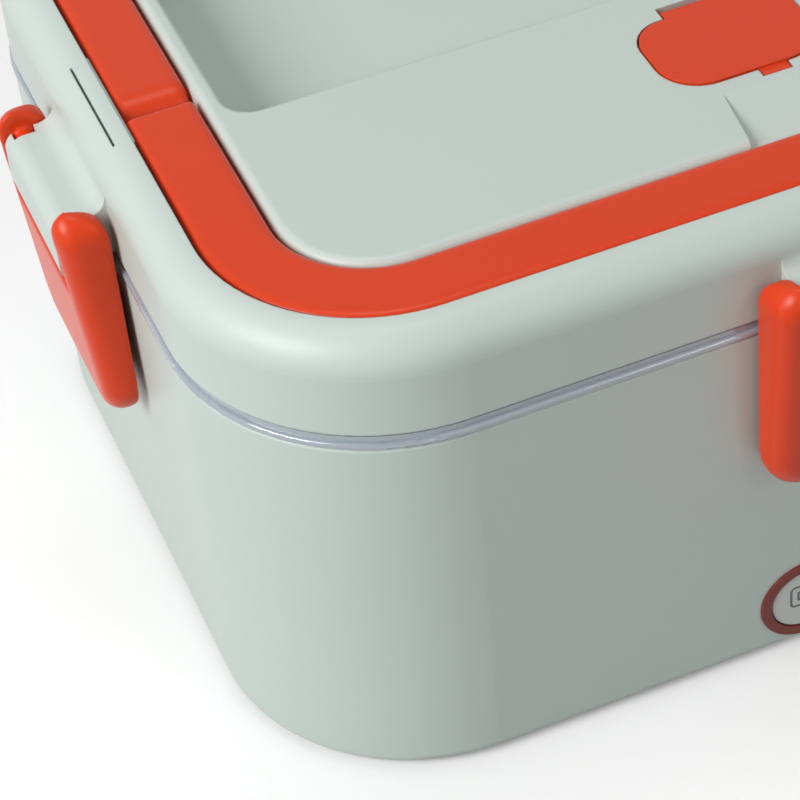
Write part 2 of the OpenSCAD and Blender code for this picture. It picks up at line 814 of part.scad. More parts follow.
latch_in = 1.4;         // the latch's distance out from the lid's side
edge_r = 4.2;           // radius of the outer edge all round a latch
ear_corner_r = 6.6;
foot_corner_r = 8.5;
heel_r = 1.2;
ear_r = hinge_out - latch_in;

// the outer face leans in towards the foot
lean = atan((latch_t - latch_foot_t) / (latch_h - 2 * edge_r));

// a latch as seen from outside: a plate that stands on y = 0, its face up, with a rounded edge
module soft_plate(w, h, depth) {
  head = [w / 2 - ear_corner_r, h - ear_corner_r];
  toe = [w / 2 - foot_corner_r, foot_corner_r];
  for (inset = [0, edge_r]) translate([0, 0, inset == 0 ? -depth : -edge_r])
    linear_extrude(inset == 0 ? depth - edge_r : edge_r)
      wrap([[-toe[0], toe[1], foot_corner_r - inset], [toe[0], toe[1], foot_corner_r - inset],
        [head[0], head[1], ear_corner_r - inset], [-head[0], head[1], ear_corner_r - inset]]);
  translate([0, h / 2, -edge_r]) sweep(w, h, [ear_corner_r, ear_corner_r, foot_corner_r, foot_corner_r])
    translate([-edge_r, 0]) intersection() {
      circle(edge_r);
      square(edge_r);
    }
}

// a latch without its cut-outs: the soft plate, leaning, and cut to the side view's inner outline
module latch_block() {
  intersection() {
    translate([0, -latch_in - latch_foot_t, latch_foot]) rotate([90 + lean, 0, 0])
      soft_plate(latch_w, (latch_h - edge_r * sin(lean)) / cos(lean), 25);
    side_solid(latch_w + 2)
      wrap([[latch_in + heel_r, latch_foot + 2 * heel_r, heel_r], [30, latch_foot - 5, 1],
        [30, latch_top + 6, 1], [hinge_out, hinge_z, ear_r]]);
  }
}

hook_w = 26;            // width of the latch's hook lip
hook_out = 0.5;         // distance from the box's side to the lip
hook_h = 3;
latch_wall = 2.2;
window_z = knuckle_lo - 1.8;  // lower edge of the opening round the knuckle

module latch() {
  color(orange) {
    difference() {
      latch_block();
      // gap round the knuckle
      translate([-knuckle_w / 2, -20, window_z]) cube([knuckle_w, 25, 40]);
      // cored from behind, from the hook up to the knuckle
      translate([-latch_w / 2 + 4, -latch_in - latch_foot_t + latch_wall, rib_z - clear])
        cube([latch_w - 8, 8, window_z - 2 * latch_wall - rib_z + clear]);
    }
    // pins with their collars
    hinge_ends() {
      translate([0, 0, -1]) cylinder(d = latch_pin_d, h = 1 + pin_l);
      translate([0, 0, -1]) cylinder(r = collar_r, h = 1 + collar_l);
    }
    // hook that catches under the body's rib
    translate([-hook_w / 2, -3, rib_z - clear - hook_h]) cube([hook_w, 3 - hook_out, hook_h]);
  }
}

module latch_front() { on_side(0) latch(); }
module latch_right() { on_side(1) latch(); }
module latch_back() { on_side(2) latch(); }
module latch_left() { on_side(3) latch(); }

// ---------- controls ----------

key_gap = 0.25;
key_x = 10;             // place of the switch behind each key
key_back = 3;
switch_w = 6;
switch_t = 1.2;

module control_ring() {
  color([0.55, 0.18, 0.14]) translate([0, -box_w / 2, panel_z]) difference() {
    front_solid(0.2, ring_depth) capsule(panel_w, panel_h);
    front_solid(-1, 5) capsule(inner_w, inner_h);
  }
}

module key(s) {
  translate([0, -box_w / 2, panel_z]) {
    intersection() {
      front_solid(0.5, key_back) capsule(inner_w - 2 * key_gap, inner_h - 2 * key_gap);
      translate([s > 0 ? 0.2 : -50, -5, -20]) cube([49.8, 20, 40]);
    }
    // stem that presses the switch
    translate([s * key_x, key_back - eps, 0]) rotate([-90, 0, 0])
      cylinder(d = 4, h = board_y - key_back - switch_t - key_travel - 0.1);
  }
}

module mode_key() { color([0.8, 0.82, 0.8]) key(-1); }
module power_key() { color([0.8, 0.82, 0.8]) key(1); }

module control_board() {
  color([0.1, 0.35, 0.2]) translate([0, -box_w / 2 + board_y, panel_z]) {
    translate([-board_l / 2, 0, floor_z - panel_z]) cube([board_l, board_t, board_h]);
    at_sides(key_x, (eps - switch_t) / 2) cube([switch_w, switch_t + eps, switch_w], center = true);
  }
}

// ---------- power inlet ----------

pin_pitch = 8.6;
pin_d = 2.4;
contact_l = 18;
contact_in = 24;        // inner end of the contacts behind the back wall's outside
mouth_w = 15.4;         // mouth of the inlet's recess
mouth_h = 8.4;
inlet_deep = 18;
inlet_face = 1.6;       // the inlet's face lies this far behind the wall

module inlet_socket() {
  color([0.12, 0.12, 0.13]) translate([0, box_w / 2, inlet_z]) difference() {
    union() {
      front_solid(-inlet_deep, -inlet_face) rrect(inlet_w - 0.2, inlet_h - 0.2, inlet_r - 0.1);
      // flange behind the body's wall
      front_solid(-5.4, -3.5) rrect(inlet_w + 5, inlet_h + 2, inlet_r);
    }
    front_solid(2 - inlet_deep, 1) capsule(mouth_w, mouth_h);
    at_sides(pin_pitch / 2, -inlet_deep - 1) rotate([-90, 0, 0]) cylinder(d = pin_d, h = 5);
  }
}

module inlet_pins() {
  color([0.8, 0.65, 0.3]) at_sides(pin_pitch / 2, box_w / 2 - contact_in, inlet_z) rotate([-90, 0, 0])
    cylinder(d = pin_d, h = contact_l);
}

outer_body();
well_liner();
food_tray();
inner_lid();
inner_seal();
outer_lid();
lid_liner();
lid_seal();
lid_screws();
front_trim();
carry_handle();
vent_flap();
latch_front();
latch_right();
latch_back();
latch_left();
control_ring();
mode_key();
power_key();
control_board();
heating_plate();
plate_gasket();
ptc_heater();
heater_clamp();
clamp_nuts();
thermostat();
thermal_fuse();
inlet_socket();
inlet_pins();
case_screws();
feet();
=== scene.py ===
import json
import math
import bmesh
import bpy
from mathutils import Matrix, Vector


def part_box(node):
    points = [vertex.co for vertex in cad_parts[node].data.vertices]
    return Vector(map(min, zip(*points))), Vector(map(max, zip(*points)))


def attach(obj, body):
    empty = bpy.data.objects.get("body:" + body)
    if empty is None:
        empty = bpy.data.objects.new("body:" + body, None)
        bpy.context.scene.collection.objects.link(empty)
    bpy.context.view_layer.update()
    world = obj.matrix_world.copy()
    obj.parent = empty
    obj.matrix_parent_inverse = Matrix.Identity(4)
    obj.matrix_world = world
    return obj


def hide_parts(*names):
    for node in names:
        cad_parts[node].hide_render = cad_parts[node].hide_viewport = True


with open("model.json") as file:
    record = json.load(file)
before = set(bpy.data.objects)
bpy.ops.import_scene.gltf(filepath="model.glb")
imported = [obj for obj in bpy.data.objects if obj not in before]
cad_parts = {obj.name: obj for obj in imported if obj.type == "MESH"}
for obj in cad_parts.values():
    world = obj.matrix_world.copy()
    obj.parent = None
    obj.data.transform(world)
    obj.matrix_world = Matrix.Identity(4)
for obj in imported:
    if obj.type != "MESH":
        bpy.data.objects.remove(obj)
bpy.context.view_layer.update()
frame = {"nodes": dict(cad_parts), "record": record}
nodes = frame["nodes"]

# ---- camera ----
# The box is seen from above its front left corner through a long lens, from about 0.7 m. The camera
# is turned to the right, dips below level, and is rolled a little.
eye = Vector((-0.21307, -0.47307, 0.48157))
turn, dip, roll = (math.radians(angle) for angle in (17.736, 43.287, -6.378))
ahead = Vector((math.sin(turn) * math.cos(dip), math.cos(turn) * math.cos(dip), -math.sin(dip)))
level = Vector((math.cos(turn), -math.sin(turn), 0))
upward = Vector((math.sin(turn) * math.sin(dip), math.cos(turn) * math.sin(dip), math.cos(dip)))
right = level * math.cos(roll) + upward * math.sin(roll)
top = upward * math.cos(roll) - level * math.sin(roll)
camera = bpy.data.objects.new("camera", bpy.data.cameras.new("camera"))
camera.data.lens = 142.33
camera.data.sensor_width = 36
camera.data.sensor_fit = "HORIZONTAL"
camera.data.clip_start = 0.01
camera.matrix_world = Matrix((
    (right.x, top.x, -ahead.x, eye.x),
    (right.y, top.y, -ahead.y, eye.y),
    (right.z, top.z, -ahead.z, eye.z),
    (0, 0, 0, 1)))
bpy.context.collection.objects.link(camera)
bpy.context.scene.camera = camera
bpy.context.scene.view_settings.view_transform = "Standard"


# ---- outer body and outer lid ----
# Injection moulded polypropylene. The tool is spark eroded, which gives a satin skin with a fine
# grain. The moulder breaks every edge to about 0.4 mm, and those edges carry a painted highlight.
def linear(colour):
    """An sRGB hex colour as the linear numbers that a shader takes."""
    channels = [int(colour[i:i + 2], 16) / 255 for i in (1, 3, 5)]
    return [c / 12.92 if c <= 0.04045 else ((c + 0.055) / 1.055) ** 2.4 for c in channels] + [1.0]


def add_node(tree, kind, inputs, **settings):
    """Adds a node; inputs maps its sockets' names or numbers to values or to other nodes' outputs."""
    node = tree.nodes.new(kind)
    for name, value in settings.items():
        setattr(node, name, value)
    for socket, value in inputs.items():
        if isinstance(value, bpy.types.NodeSocket):
            tree.links.new(value, node.inputs[socket])
        else:
            node.inputs[socket].default_value = value
    return node


def start_material(name, **inputs):
    """A new material with its tree, its shader with these inputs, and its object coordinates."""
    material = bpy.data.materials.new(name)
    material.use_nodes = True
    tree = material.node_tree
    shader = tree.nodes["Principled BSDF"]
    for socket, value in inputs.items():
        shader.inputs[socket.replace("_", " ")].default_value = value
    return material, tree, shader, add_node(tree, "ShaderNodeTexCoord", {}).outputs["Object"]


def moulded(name, colour, flow_colour, edge_highlight_colour, roughness, grain_mm, relief_mm, edge_mm=0.4, **inputs):
    """A moulded skin: colour that drifts with the flow, uneven gloss, eroded grain, painted highlights on
    broken edges.
    """
    flow_mm = 71.43       # the melt's colour drifts over about this length
    gloss_spread = 0.05   # how far the roughness strays to either side
    most_edge_highlight = 0.6       # share of the painted edge highlight's own colour where the edge turns most
    material, tree, shader, place = start_material(name, **inputs)
    flow = add_node(tree, "ShaderNodeTexNoise", {"Vector": place, "Scale": 1000 / flow_mm, "Detail": 2.0})
    body = add_node(tree, "ShaderNodeMix", {
        0: flow.outputs["Fac"], 6: linear(colour), 7: linear(flow_colour)}, data_type="RGBA")
    # an edge is where the broken edge's normal leaves the face's, by 11 degrees at first and 41 at most
    broken = add_node(tree, "ShaderNodeBevel", {"Radius": edge_mm / 1000}, samples=4)
    face = add_node(tree, "ShaderNodeNewGeometry", {})
    along = add_node(tree, "ShaderNodeVectorMath", {
        0: broken.outputs["Normal"], 1: face.outputs["Normal"]}, operation="DOT_PRODUCT")
    edge = add_node(tree, "ShaderNodeMapRange", {
        "Value": along.outputs["Value"], "From Min": 0.98, "From Max": 0.75, "To Max": most_edge_highlight})
    # the edges are painted lighter here: a painted highlight where rounded edges would catch the light
    highlighted_edges = add_node(tree, "ShaderNodeMix", {
        0: edge.outputs["Result"], 6: body.outputs[2], 7: linear(edge_highlight_colour)}, data_type="RGBA")
    gloss = add_node(tree, "ShaderNodeMapRange", {
        "Value": flow.outputs["Fac"], "To Min": roughness - gloss_spread, "To Max": roughness + gloss_spread})
    grain = add_node(tree, "ShaderNodeTexNoise", {"Vector": place, "Scale": 1000 / grain_mm, "Detail": 2.0})
    relief = add_node(tree, "ShaderNodeBump", {
        "Height": grain.outputs["Fac"], "Strength": 1.0, "Distance": relief_mm / 1000,
        "Normal": broken.outputs["Normal"]})
    tree.links.new(highlighted_edges.outputs[2], shader.inputs["Base Color"])
    tree.links.new(gloss.outputs["Result"], shader.inputs["Roughness"])
    tree.links.new(relief.outputs["Normal"], shader.inputs["Normal"])
    return material


def dress(node, material):
    """Gives a CAD node this one material."""
    slots = nodes[node].data.materials
    slots.clear()
    slots.append(material)


# each skin's third colour is the lighter colour of its painted edge highlight
# the real grain is about 0.1 mm; it is drawn at 0.5 mm so that it shows
sage = moulded("moulded_polypropylene_sage", "#CCD8D1", "#C8D4CD", "#D6E0D9",
               roughness=0.42, grain_mm=0.5, relief_mm=0.006)
dress("outer_body", sage)
dress("outer_lid", sage)

# ---- front trim, carry handle and vent flap ----
# Injection moulded ABS from a polished tool: smooth and glossier than the shell, with the faint
# orange peel of a moulding that shrank, about 1.5 mm wide. The trim is fixed in the lid's groove,
# and the handle and the flap turn on pins.
coral = moulded("moulded_abs_coral", "#E14112", "#DD3D0F", "#E7582A",
                roughness=0.32, grain_mm=1.5, relief_mm=0.006, Specular_IOR_Level=0.3)
dress("vent_flap", coral)

joints = {joint["name"]: joint for joint in frame["record"]["behaviour"]["joints"]}
weld = 1e-6               # corners that lie closer than this are one, in metres
skin_step = 0.0005        # size of the finer copy's faces
pin_zone = 0.0034         # round a hinge's axis, where a piece keeps its shape


def soften(node, body, passes, hinge=None):
    """Replaces a node by a finer copy whose edges are drawn in, apart from the zone round its hinge."""
    form = bmesh.new()
    form.from_mesh(nodes[node].data)
    bmesh.ops.remove_doubles(form, verts=form.verts, dist=weld)
    raw = bpy.data.objects.new(node + "_raw", bpy.data.meshes.new(node + "_raw"))
    form.to_mesh(raw.data)
    form.free()
    bpy.context.collection.objects.link(raw)
    remesh = raw.modifiers.new("remesh", "REMESH")
    remesh.mode = "VOXEL"
    remesh.voxel_size = skin_step
    bpy.context.view_layer.update()
    skin = bpy.data.meshes.new_from_object(raw.evaluated_get(bpy.context.evaluated_depsgraph_get()))
    bpy.data.objects.remove(raw)
    form = bmesh.new()
    form.from_mesh(skin)
    loose = list(form.verts)
    if hinge:
        pin, axis = Vector(hinge["pos_m"]), Vector(hinge["axis"]).normalized()
        arms = [(vert, vert.co - pin) for vert in form.verts]
        loose = [vert for vert, arm in arms if (arm - axis * arm.dot(axis)).length > pin_zone]
    for _ in range(passes):
        bmesh.ops.smooth_vert(form, verts=loose, factor=0.5,
                              use_axis_x=True, use_axis_y=True, use_axis_z=True)
    for face in form.faces:
        face.smooth = True
    form.to_mesh(skin)
    form.free()
    skin.materials.clear()
    skin.materials.append(coral)
    piece = bpy.data.objects.new(node + "_moulding", skin)
    bpy.context.collection.objects.link(piece)
    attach(piece, body)
    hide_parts(node)


# the passes draw the sharp edges of both bands in by 0.3 to 0.5 mm
band_passes = 5
soften("front_trim", "lid", band_passes)
soften("carry_handle", "handle", band_passes, joints["handle_hinge"])

# ---- latches ----
# Four equal ABS mouldings from the same polished tool. Their thick walls draw in as they cool,
# which leaves every outer edge and corner softly rounded. The pins in the knuckles stay true.
latch_passes = 12
for name, joint in joints.items():
    if name.startswith("latch_"):
        soften(name.removesuffix("_hinge"), joint["child"], latch_passes, joint)

# ---- clear inner lid ----
# Clarified polypropylene, moulded smooth and slightly milky: its edge shows between body and lid
# as a light blue-grey line. It lies loose on the body's rim.
milky, tree, shader, place = start_material(
    "clarified_polypropylene", Base_Color=linear("#CBD6E1"), IOR=1.49, Transmission_Weight=0.4,
    Specular_IOR_Level=0.9, Coat_Weight=1.0, Coat_Roughness=0.08)
haze_mm = 16.67
haze = add_node(tree, "ShaderNodeTexNoise", {"Vector": place, "Scale": 1000 / haze_mm})
gloss = add_node(tree, "ShaderNodeMapRange", {"Value": haze.outputs["Fac"], "To Min": 0.09, "To Max": 0.15})
tree.links.new(gloss.outputs["Result"], shader.inputs["Roughness"])
dress("inner_lid", milky)

# ---- seals ----
# Moulded silicone rubber: matt, a little translucent, with a dusty bloom. The seal in the outer
# lid is a round bead that runs round the lid in one closed loop and is pressed between two ribs.
silicone = moulded("silicone_white", "#E3E3DE", "#DAD9D2", "#ECECE8",
                   roughness=0.62, grain_mm=0.8, relief_mm=0.008, Subsurface_Weight=0.1)
dress("inner_seal", silicone)
gasket = moulded("silicone_red", "#8E3A2E", "#84342A", "#9C4A3D",
                 roughness=0.6, grain_mm=0.8, relief_mm=0.008)
dress("plate_gasket", gasket)

low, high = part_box("lid_seal")
bead_w = 0.003
bead_corner = 0.0285      # radius of the bead's path at the box's corners
bead = bpy.data.node_groups.new("seal_bead", "GeometryNodeTree")
for socket in ("Length", "Width", "Corner radius", "Bead width", "Bead height", "Height"):
    bead.interface.new_socket(name=socket, in_out="INPUT", socket_type="NodeSocketFloat")
bead.interface.new_socket(name="Material", in_out="INPUT", socket_type="NodeSocketMaterial")
bead.interface.new_socket(name="Geometry", in_out="OUTPUT", socket_type="NodeSocketGeometry")
sizes = add_node(bead, "NodeGroupInput", {}).outputs
path = add_node(bead, "GeometryNodeCurvePrimitiveQuadrilateral", {
    "Width": sizes["Length"], "Height": sizes["Width"]})
bent = add_node(bead, "GeometryNodeFilletCurve", {
    "Curve": path.outputs["Curve"], "Count": 16, "Radius": sizes["Corner radius"], "Limit Radius": True},
    mode="POLY")
# a circle 1 m wide, so that its scale is the bead's width and height
round_section = add_node(bead, "GeometryNodeCurvePrimitiveCircle", {"Resolution": 20, "Radius": 0.5})
squash = add_node(bead, "ShaderNodeCombineXYZ", {
    "X": sizes["Bead width"], "Y": sizes["Bead height"], "Z": 1.0})
section = add_node(bead, "GeometryNodeTransform", {
    "Geometry": round_section.outputs["Curve"], "Scale": squash.outputs["Vector"]})
swept = add_node(bead, "GeometryNodeCurveToMesh", {
    "Curve": bent.outputs["Curve"], "Profile Curve": section.outputs["Geometry"]})
lift = add_node(bead, "ShaderNodeCombineXYZ", {"Z": sizes["Height"]})
placed = add_node(bead, "GeometryNodeTransform", {
    "Geometry": swept.outputs["Mesh"], "Translation": lift.outputs["Vector"]})
smooth = add_node(bead, "GeometryNodeSetShadeSmooth", {"Geometry": placed.outputs["Geometry"]})
real = add_node(bead, "GeometryNodeRealizeInstances", {"Geometry": smooth.outputs["Geometry"]})
finished = add_node(bead, "GeometryNodeSetMaterial", {
    "Geometry": real.outputs["Geometry"], "Material": sizes["Material"]})
add_node(bead, "NodeGroupOutput", {"Geometry": finished.outputs["Geometry"]})


def grow(name, tree, values, start=None):
    """Runs a Geometry Nodes tree with these named inputs and returns its result as a plain mesh piece."""
    raw = bpy.data.objects.new(name, start or bpy.data.meshes.new(name))
    bpy.context.collection.objects.link(raw)
    modifier = raw.modifiers.new("grow", "NODES")
    modifier.node_group = tree
    keys = {item.name: item.identifier for item in tree.interface.items_tree if item.in_out == "INPUT"}
    for label, value in values.items():
        modifier[keys[label]] = value
    bpy.context.view_layer.update()
    raw.data = bpy.data.meshes.new_from_object(raw.evaluated_get(bpy.context.evaluated_depsgraph_get()))
    raw.modifiers.clear()
    return raw


seal = grow("lid_seal_bead", bead, {
    "Length": high[0] - low[0] - bead_w, "Width": high[1] - low[1] - bead_w, "Corner radius": bead_corner,
    "Bead width": bead_w, "Bead height": high[2] - low[2], "Height": (low[2] + high[2]) / 2,
    "Material": silicone})
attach(seal, "lid")
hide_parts("lid_seal")

# ---- well liner and lid liner ----
# Heat-resistant polypropylene, off-white, with the same eroded satin as the shell. The case screws
# hold the well liner in the body, and the lid screws hold the lid liner in the lid.
offwhite = moulded("moulded_polypropylene_white", "#E2E2DD", "#DCDCD6", "#E9E9E5",
                   roughness=0.45, grain_mm=0.5, relief_mm=0.006)
for name in ("well_liner", "lid_liner"):
    dress(name, offwhite)

# ---- lid screws ----
# Steel screws, cold headed, with a cross recess, that hold the liner to the lid from below. Each
# head stops at its own angle. The zinc plating is bright and slightly blue, with cloudy patches.
zinc, tree, shader, place = start_material("zinc_plated_steel", Metallic=1.0)
cloud_mm = 2.5
cloud = add_node(tree, "ShaderNodeTexNoise", {"Vector": place, "Scale": 1000 / cloud_mm, "Detail": 3.0})
tint = add_node(tree, "ShaderNodeMix", {
    0: cloud.outputs["Fac"], 6: linear("#BFC2C8"), 7: linear("#9EA1A6")}, data_type="RGBA")
gloss = add_node(tree, "ShaderNodeMapRange", {"Value": cloud.outputs["Fac"], "To Min": 0.25, "To Max": 0.42})
tree.links.new(tint.outputs[2], shader.inputs["Base Color"])
tree.links.new(gloss.outputs["Result"], shader.inputs["Roughness"])
for name in ("lid_screws", "case_screws", "heater_clamp", "clamp_nuts"):
    dress(name, zinc)

head_r, head_h, shank_r, shank_l = 0.0025, 0.001, 0.0011, 0.006
recess_l, recess_w, recess_deep = 0.0032, 0.0007, 0.0006
form = bmesh.new()
# half the screw's outline, from the middle of the domed head over its rim to the shank's tip
profile = [(0, -head_h), (head_r * 0.55, -head_h), (head_r * 0.85, -head_h * 0.82), (head_r, -head_h * 0.4),
           (head_r, 0), (shank_r, 0), (shank_r, shank_l - shank_r), (0, shank_l)]
ring = [form.verts.new((x, 0, z)) for x, z in profile]
rail = [form.edges.new(pair) for pair in zip(ring, ring[1:])]
bmesh.ops.spin(form, geom=ring + rail, cent=(0, 0, 0), axis=(0, 0, 1), angle=math.tau, steps=32)
bmesh.ops.remove_doubles(form, verts=form.verts, dist=weld)
bmesh.ops.recalc_face_normals(form, faces=form.faces)
blank = bpy.data.objects.new("screw_blank", bpy.data.meshes.new("screw_blank"))
form.to_mesh(blank.data)
form.free()
form = bmesh.new()
for arm in ((recess_l, recess_w), (recess_w, recess_l)):
    stretch = Matrix.Diagonal((*arm, recess_deep * 2, 1))
    bmesh.ops.create_cube(form, size=1, matrix=Matrix.Translation((0, 0, -head_h)) @ stretch)
punch = bpy.data.objects.new("recess_punch", bpy.data.meshes.new("recess_punch"))
form.to_mesh(punch.data)
form.free()
for tool in (blank, punch):
    bpy.context.collection.objects.link(tool)

# one point for each screw of the CAD node, found from its mesh: a screw is an island of joined corners
found = bmesh.new()
found.from_mesh(nodes["lid_screws"].data)
bmesh.ops.remove_doubles(found, verts=found.verts, dist=weld)
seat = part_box("lid_screws")[0][2] + head_h
centres, waiting = [], set(found.verts)
while waiting:
    island, queue = set(), [waiting.pop()]
    while queue:
        vert = queue.pop()
        island.add(vert)
        near = {edge.other_vert(vert) for edge in vert.link_edges} & waiting
        waiting -= near
        queue.extend(near)
    xs = [vert.co.x for vert in island]
    ys = [vert.co.y for vert in island]
    centres.append(((min(xs) + max(xs)) / 2, (min(ys) + max(ys)) / 2, seat))
found.free()
centres.sort()
points = bpy.data.meshes.new("screw_points")
points.from_pydata(centres, [], [])

pattern = bpy.data.node_groups.new("screw_pattern", "GeometryNodeTree")
for socket, kind in (("Points", "NodeSocketGeometry"), ("Blank", "NodeSocketObject"),
                     ("Punch", "NodeSocketObject"), ("Seed", "NodeSocketInt"),
                     ("Material", "NodeSocketMaterial")):
    pattern.interface.new_socket(name=socket, in_out="INPUT", socket_type=kind)
pattern.interface.new_socket(name="Geometry", in_out="OUTPUT", socket_type="NodeSocketGeometry")
sizes = add_node(pattern, "NodeGroupInput", {}).outputs
blank_info = add_node(pattern, "GeometryNodeObjectInfo", {"Object": sizes["Blank"]})
punch_info = add_node(pattern, "GeometryNodeObjectInfo", {"Object": sizes["Punch"]})
# the punch's two arms cross each other, which the cut has to allow for
headed = add_node(pattern, "GeometryNodeMeshBoolean", {
    0: blank_info.outputs["Geometry"], 1: punch_info.outputs["Geometry"], "Self Intersection": True},
    operation="DIFFERENCE", solver="EXACT")
angle = add_node(pattern, "FunctionNodeRandomValue", {3: math.tau, "Seed": sizes["Seed"]}, data_type="FLOAT")
about = add_node(pattern, "ShaderNodeCombineXYZ", {"Z": angle.outputs[1]})
driven = add_node(pattern, "GeometryNodeInstanceOnPoints", {
    "Points": sizes["Points"], "Instance": headed.outputs["Mesh"], "Rotation": about.outputs["Vector"]})
real = add_node(pattern, "GeometryNodeRealizeInstances", {"Geometry": driven.outputs["Instances"]})
finished = add_node(pattern, "GeometryNodeSetMaterial", {
    "Geometry": real.outputs["Geometry"], "Material": sizes["Material"]})
add_node(pattern, "NodeGroupOutput", {"Geometry": finished.outputs["Geometry"]})
screws = grow("lid_screw_set", pattern, {"Blank": blank, "Punch": punch, "Seed": 7, "Material": zinc},
              start=points)
for tool in (blank, punch):
    bpy.data.objects.remove(tool)
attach(screws, "lid")
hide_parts("lid_screws")

# ---- food tray ----
# Stainless steel sheet, deep drawn, then brushed along its length: fine parallel scratches, drawn
# 0.7 mm apart so that they show, and long streaks of uneven gloss.
steel, tree, shader, place = start_material("stainless_steel_brushed", Metallic=1.0)
scratch_mm, streak_mm = 0.7, 83.33
stretch = add_node(tree, "ShaderNodeMapping", {
    "Vector": place, "Scale": (1000 / streak_mm, 1000 / scratch_mm, 1000 / scratch_mm)})
scratch = add_node(tree, "ShaderNodeTexNoise", {
    "Vector": stretch.outputs["Vector"], "Scale": 1.0, "Detail": 3.0})
tint = add_node(tree, "ShaderNodeMix", {
    0: scratch.outputs["Fac"], 6: linear("#CFCFD0"), 7: linear("#B4B4B7")}, data_type="RGBA")
gloss = add_node(tree, "ShaderNodeMapRange", {"Value": scratch.outputs["Fac"], "To Min": 0.2, "To Max": 0.42})
relief = add_node(tree, "ShaderNodeBump", {
    "Height": scratch.outputs["Fac"], "Strength": 0.6, "Distance": 0.00002})
tree.links.new(tint.outputs[2], shader.inputs["Base Color"])
tree.links.new(gloss.outputs["Result"], shader.inputs["Roughness"])
tree.links.new(relief.outputs["Normal"], shader.inputs["Normal"])
dress("food_tray", steel)

# ---- heating plate ----
# Aluminium plate, milled flat and clear anodised: a pale satin grey. A real cutter leaves arcs
# about 1 mm apart. These are coarser, 7.5 mm apart.
plate, tree, shader, place = start_material("anodised_aluminium", Metallic=1.0)
wave_mm = 1000 * math.tau / 20     # from one crest of a wave texture to the next at a scale of 1
arc_mm = 7.54
arcs = add_node(tree, "ShaderNodeTexWave", {"Vector": place, "Scale": wave_mm / arc_mm, "Distortion": 0.4},
                wave_type="RINGS", rings_direction="Z")
tint = add_node(tree, "ShaderNodeMix", {
    0: arcs.outputs["Fac"], 6: linear("#C6C8CB"), 7: linear("#B8BABD")}, data_type="RGBA")
gloss = add_node(tree, "ShaderNodeMapRange", {"Value": arcs.outputs["Fac"], "To Min": 0.3, "To Max": 0.42})
tree.links.new(tint.outputs[2], shader.inputs["Base Color"])
tree.links.new(gloss.outputs["Result"], shader.inputs["Roughness"])
dress("heating_plate", plate)

# ---- heater ----
# Extruded aluminium case round the heating stones, clamped under the plate: dull, with broad die
# lines along it that are 12.6 mm apart.
extruded, tree, shader, place = start_material(
    "extruded_aluminium", Metallic=1.0, Base_Color=linear("#A7A9AC"))
die_line_mm = 12.566
lines = add_node(tree, "ShaderNodeTexWave", {
    "Vector": place, "Scale": wave_mm / die_line_mm, "Distortion": 0.2},
    wave_type="BANDS", bands_direction="Y")
gloss = add_node(tree, "ShaderNodeMapRange", {"Value": lines.outputs["Fac"], "To Min": 0.42, "To Max": 0.6})
tree.links.new(gloss.outputs["Result"], shader.inputs["Roughness"])
dress("ptc_heater", extruded)

# ---- thermal fuse, thermostat and inlet ----
# The fuse is a glazed ceramic tube, the thermostat and the inlet are moulded in black nylon, and
# the inlet's two contacts are bright turned brass with grooves drawn 2.5 mm apart.
ceramic = moulded("glazed_ceramic_white", "#DDD9CC", "#D5D0C2", "#E6E2D6",
                  roughness=0.25, grain_mm=1.0, relief_mm=0.004)
dress("thermal_fuse", ceramic)
nylon = moulded("moulded_nylon_black", "#1C1C1E", "#171719", "#2A2A2C",
                roughness=0.48, grain_mm=0.5, relief_mm=0.008)
for name in ("thermostat", "inlet_socket"):
    dress(name, nylon)
brass, tree, shader, place = start_material("turned_brass", Metallic=1.0, Base_Color=linear("#C9A86A"))
groove_mm = 2.513
turned = add_node(tree, "ShaderNodeTexWave", {"Vector": place, "Scale": wave_mm / groove_mm},
                  wave_type="BANDS", bands_direction="Y")
gloss = add_node(tree, "ShaderNodeMapRange", {"Value": turned.outputs["Fac"], "To Min": 0.15, "To Max": 0.3})
tree.links.new(gloss.outputs["Result"], shader.inputs["Roughness"])
dress("inlet_pins", brass)

# ---- control board ----
# Glass-fibre board with a satin green solder mask. Copper tracks in rows 0.23 mm apart show
# through the mask as a paler green.
board, tree, shader, place = start_material("solder_mask_green", Roughness=0.35, Coat_Weight=0.3)
track_row, track_mm = 0.25, 0.225  # a brick texture's row at a scale of 1, and the row wanted
tracks = add_node(tree, "ShaderNodeTexBrick", {
    "Vector": place, "Scale": 1000 * track_row / track_mm, "Mortar Size": 0.06,
    "Color1": linear("#1F6B40"), "Color2": linear("#1B6139"), "Mortar": linear("#2C8551")})
tree.links.new(tracks.outputs["Color"], shader.inputs["Base Color"])
dress("control_board", board)

# ---- control ring and keys ----
# The ring is coral ABS snapped into the body's front, painted dark red as painted shade. The two keys
# are one capsule split in the middle, moulded in a greenish white and pressed from the front.
# the coral's colour as it looks in shade, painted over the whole ring: painted shade
coral_in_painted_shade = moulded("moulded_abs_coral_painted_shade", "#7C2E24", "#752A20", "#94402F",
                 roughness=0.38, grain_mm=1.5, relief_mm=0.006, Specular_IOR_Level=0.35)
dress("control_ring", coral_in_painted_shade)
ivory = moulded("moulded_abs_ivory", "#D5DAD6", "#CFD4D0", "#DEE3DF",
                roughness=0.32, grain_mm=1.5, relief_mm=0.006, edge_mm=0.3)
for name in ("mode_key", "power_key"):
    dress(name, ivory)

